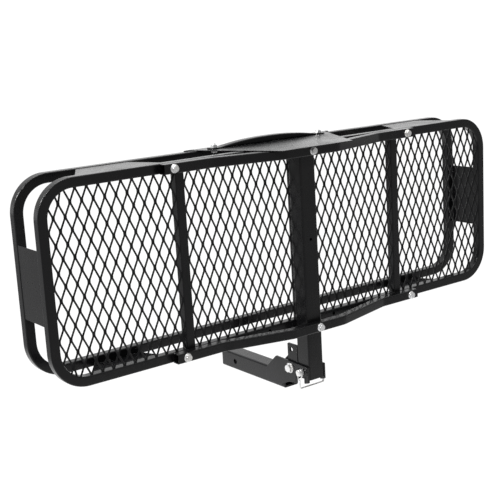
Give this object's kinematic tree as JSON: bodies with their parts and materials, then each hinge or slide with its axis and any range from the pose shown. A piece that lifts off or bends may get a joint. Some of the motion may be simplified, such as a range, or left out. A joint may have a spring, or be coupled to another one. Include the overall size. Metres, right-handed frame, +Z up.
{
  "type": "hitch cargo carrier",
  "caption": "Folding steel cargo basket on a square receiver shank, folded upright, with an expanded-metal floor, tube rim, hinge and lock pin.",
  "frame": {"origin": "hitch pin axis at the middle of the shank, where the vehicle's receiver holds the part", "axes": "+X along the basket's length, +Y toward the vehicle along the shank, +Z up, with the basket folded upright"},
  "size_m": [1.524, 0.4641, 0.7183],
  "materials": {
    "powder_coat": "satin black powder coat",
    "zinc": "bright zinc plate"
  },
  "bodies": {
    "shank": {"shank_tube": "powder_coat", "clevis_plate_left": "powder_coat", "clevis_plate_right": "powder_coat", "pivot_bolt": "zinc", "pivot_nut": "zinc"},
    "basket": {"bar_bolt_left": "zinc", "bar_bolt_right": "zinc", "bar_nut_left": "zinc", "bar_nut_right": "zinc", "centre_bar": "powder_coat", "centre_plate": "powder_coat", "crossbar_centre": "powder_coat", "crossbar_left": "powder_coat", "crossbar_right": "powder_coat", "end_plate_left": "powder_coat", "end_plate_right": "powder_coat", "floor_arch_bottom": "powder_coat", "floor_arch_top": "powder_coat", "floor_bolt_bottom_left": "zinc", "floor_bolt_bottom_right": "zinc", "floor_bolt_top_left": "zinc", "floor_bolt_top_right": "zinc", "floor_nut_bottom_left": "zinc", "floor_nut_bottom_right": "zinc", "floor_nut_top_left": "zinc", "floor_nut_top_right": "zinc", "floor_rail_left": "powder_coat", "floor_rail_right": "powder_coat", "hinge_channel": "powder_coat", "main_tube": "powder_coat", "mesh_inner_left": "powder_coat", "mesh_inner_right": "powder_coat", "mesh_outer_left": "powder_coat", "mesh_outer_right": "powder_coat", "rim_rail_left": "powder_coat", "rim_rail_right": "powder_coat", "side_plate_bottom_left": "powder_coat", "side_plate_bottom_right": "powder_coat", "side_plate_top_left": "powder_coat", "side_plate_top_right": "powder_coat", "tube_bolt_bottom": "zinc", "tube_bolt_top": "zinc"},
    "lock_pin": {"lock_pin": "zinc"},
    "pin_head": {"pin_head": "zinc"},
    "pin_bail": {"pin_bail": "zinc"}
  },
  "joints": [
    {"name": "fold", "type": "hinge", "parent": "shank", "child": "basket", "pos_m": [0, -0.273, 0.0464], "axis": [1, 0, 0], "range_deg": [0, 90]},
    {"name": "lock_pin_pull", "type": "slide", "parent": "basket", "child": "lock_pin", "axis": [-1, 0, 0], "range_m": [0, 0.076]},
    {"name": "pin_turn", "type": "hinge", "parent": "lock_pin", "child": "pin_head", "pos_m": [-0.04, -0.325, 0.0464], "axis": [1, 0, 0], "range_deg": [-90, 0]},
    {"name": "bail_swing", "type": "hinge", "parent": "pin_head", "child": "pin_bail", "pos_m": [-0.042, -0.325, 0.0464], "axis": [0, 1, 0], "range_deg": [0, 131]}
  ],
  "couplings": [
    {"joint": "pin_turn", "follows": "fold", "ratio": -1},
    {"joint": "bail_swing", "follows": "lock_pin_pull", "rad_per_m": 30}
  ]
}
